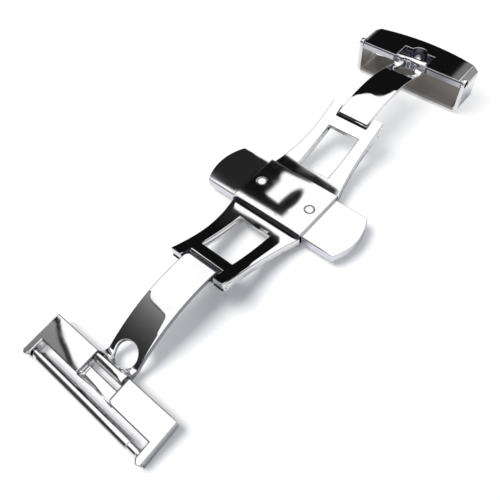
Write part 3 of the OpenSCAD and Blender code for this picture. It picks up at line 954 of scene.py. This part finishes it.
# %% Finish the lug end and the loop end
LUG_HALF, BASE_HALF = 10.12 * MM, 9.1 * MM


def lug_finish(tree):
    """Buffed, with the outer walls and a broken edge along both sides of the notch painted dark as shade."""
    y, z = coordinates(tree)[1:]
    side = y.size()
    # Painted shade on the outer walls and along the notch's broken edge.
    outside = side.step(10.0 * MM, 10.05 * MM) * coordinates(tree, "Normal")[1].size().step(0.3, 0.5)
    rim = side.between(2.50 * MM, 2.56 * MM, 2.70 * MM, 2.80 * MM) * z.step(1.45 * MM, 1.55 * MM)
    return buffed_with_sides(tree, side.short_of(LUG_HALF), WHEEL_REACH, 0.10, edge_shade=0.72,
                             painted_shade_and_joints=(outside * 0.57).most(rim * 0.9), wall_shade=0.32)


def base_finish(tree):
    """Buffed. The notch around the peg and the groove along the near edge are painted dark grey as shade."""
    x, y, z = coordinates(tree)
    side = y.size()
    # Painted shade in the notch around the peg and in the groove.
    notch = z.step(5.42 * MM, 5.36 * MM) * side.step(3.0 * MM, 2.9 * MM) * x.step(35.0 * MM, 34.6 * MM)
    groove = z.between(5.15 * MM, 5.18 * MM, 5.35 * MM, 5.38 * MM) * x.step(31.3 * MM, 31.1 * MM)
    return buffed_with_sides(tree, side.short_of(BASE_HALF), WHEEL_REACH, 0.08, waves=0.002,
                             edge_shade=0.5, painted_shade_and_joints=notch.most(groove) * 0.95)


def loop_finish(tree):
    """Buffed outside. Inside the loop, where no wheel reaches, the steel is tumbled dull, and painted dark
    and brownish as shade.
    """
    y, z = coordinates(tree)[1:]
    side = y.size()
    height, rough, tone = buffed_with_sides(tree, side.short_of(BASE_HALF), WHEEL_REACH, 0.08)
    # Inside the loop the milled marks and roughness are real, and the dark brownish tone is painted shade.
    inside = side.step(8.6 * MM, 8.4 * MM) * z.step(0.0, 0.3 * MM)
    milled = place(tree, MILLED, Grain=0.5)
    return (blend(height, milled["Height"], inside), blend(rough, milled["Roughness"] + 0.12, inside),
            blend(tone * 0.5, inside, inside))


print("half widths:", LUG_HALF / MM, "mm at the lugs and", BASE_HALF / MM, "mm at the loop")

# %% [markdown]
# ### Pins, springs and inner parts
# Pins and the spring bar come off a lathe, whose tool leaves fine rings. The
# springs are drawn wire with a bluish tint from their heat treatment. Slides,
# hooks and the peg are milled and never polished, because nobody sees them.
# One plain grey could do for all of these, but in a pose that shows them they
# would look like plastic beside the buffed steel.

# %% Finish the pins, the springs and the inner parts
# The X and Z of each pin's axis, in millimetres.
FOLD_PIN_NEAR, FOLD_PIN_FAR = (-15.94, 4.076), (15.94, 4.076)
LUG_PIN, LOOP_PIN, SPRING_BAR = (-31.12, 1.481), (31.312, 5.003), (-35.477, 0.698)


def turned_finish(axis_x, axis_z, pitch=0.09, depth=3e-7):
    """Rings of a lathe around an axis along Y. The axis and the pitch are in millimetres."""
    def pattern(tree):
        """The height, roughness and tone of the turned steel."""
        marks = place(tree, TURNED, Axis_X=axis_x * MM, Axis_Z=axis_z * MM, Pitch=pitch * MM, Depth=depth)
        return [marks[name] for name in SURFACE]
    return pattern


def milled_finish(tree):
    """The milled effect alone."""
    marks = place(tree, MILLED, Grain=1.0)
    return [marks[name] for name in SURFACE]


def wire_finish(tree):
    """Drawn spring wire: fine cloudy lines and a bluish heat tint."""
    x, y, z = coordinates(tree)
    lines = noise(tree, x * 9000.0, y * 30000.0, z * 9000.0)
    return lines * 3.0e-7, lines * 0.15 + 0.15, lines


print("three finishes for what the wheel never meets")

# %% [markdown]
# ### Which piece gets which steel
# Every finish is made once and given to all nodes that had the same treatment,
# which is simpler than a material for each node. The second colour is how dark
# its marks, smudges and painted shade may get.

# %% Give each node its steel
LIGHT, SHADE, TURNED_SHADE = (0.90, 0.90, 0.905), (0.82, 0.822, 0.83), (0.72, 0.72, 0.74)
# The blades' dark colour: what their smudges, lines and painted shade darken to.
BLADE_SMUDGE_AND_SHADE = (0.05, 0.05, 0.07)
# Node, name of its steel, light colour, dark colour, finish.
ROWS = (
    ("main_frame", "frame steel", LIGHT, (0.05, 0.05, 0.06), frame_finish),
    ("cover_plate", "cover steel", LIGHT, (0.20, 0.20, 0.22), cover_finish),
    ("rivet_left", "rivet steel", LIGHT, SHADE, rivet_finish),
    ("button_left", "button steel", LIGHT, (0.40, 0.38, 0.46), button_finish),
    ("blade_near", "near blade steel", LIGHT, BLADE_SMUDGE_AND_SHADE,
     blade_finish(slope=0.14, tip=15.92, lean=0.98, line=0.8)),
    ("blade_far", "far blade steel", LIGHT, BLADE_SMUDGE_AND_SHADE,
     blade_finish(slope=0.07, tip=15.0, lean=0.72, line=0.0)),
    ("end_plate", "lug steel", LIGHT, (0.12, 0.11, 0.14), lug_finish),
    ("base_plate", "base steel", LIGHT, (0.09, 0.09, 0.12), base_finish),
    ("strap_loop", "loop steel", LIGHT, (0.31, 0.29, 0.27), loop_finish),
    ("fold_pin_near", "near pin steel", LIGHT, TURNED_SHADE, turned_finish(*FOLD_PIN_NEAR)),
    ("fold_pin_far", "far pin steel", LIGHT, TURNED_SHADE, turned_finish(*FOLD_PIN_FAR)),
    ("end_pin", "end pin steel", LIGHT, TURNED_SHADE, turned_finish(*LUG_PIN)),
    ("hinge_pin_far", "loop pin steel", LIGHT, TURNED_SHADE, turned_finish(*LOOP_PIN)),
    ("bar_tube", "spring bar steel", LIGHT, TURNED_SHADE,
     turned_finish(*SPRING_BAR, pitch=0.16, depth=2e-7)),
    ("slide_left", "slide steel", (0.66, 0.66, 0.68), (0.48, 0.48, 0.50), milled_finish),
    ("strap_peg", "peg steel", LIGHT, (0.70, 0.70, 0.72), milled_finish),
    ("button_spring_left", "spring wire", (0.60, 0.62, 0.68), (0.40, 0.41, 0.46), wire_finish),
)
FINISHES = {node: steel(*recipe) for node, *recipe in ROWS}
SAME = {"rivet_right": "rivet_left", "button_right": "button_left", "slide_right": "slide_left",
        "hook_left_near": "slide_left", "hook_left_far": "slide_left",
        "hook_right_near": "slide_left", "hook_right_far": "slide_left",
        "button_spring_right": "button_spring_left", "bar_spring": "button_spring_left",
        "bar_tip_left": "bar_tube", "bar_tip_right": "bar_tube"}
for name, piece in NODES.items():
    piece.data.materials.clear()
    piece.data.materials.append(FINISHES[SAME.get(name, name)])
print(len(FINISHES), "finishes on", len(NODES), "nodes")

# %% [markdown]
# ## Finish
# Broken edges only take steel away, so the dressed clasp has to stay in the
# box of the solids.
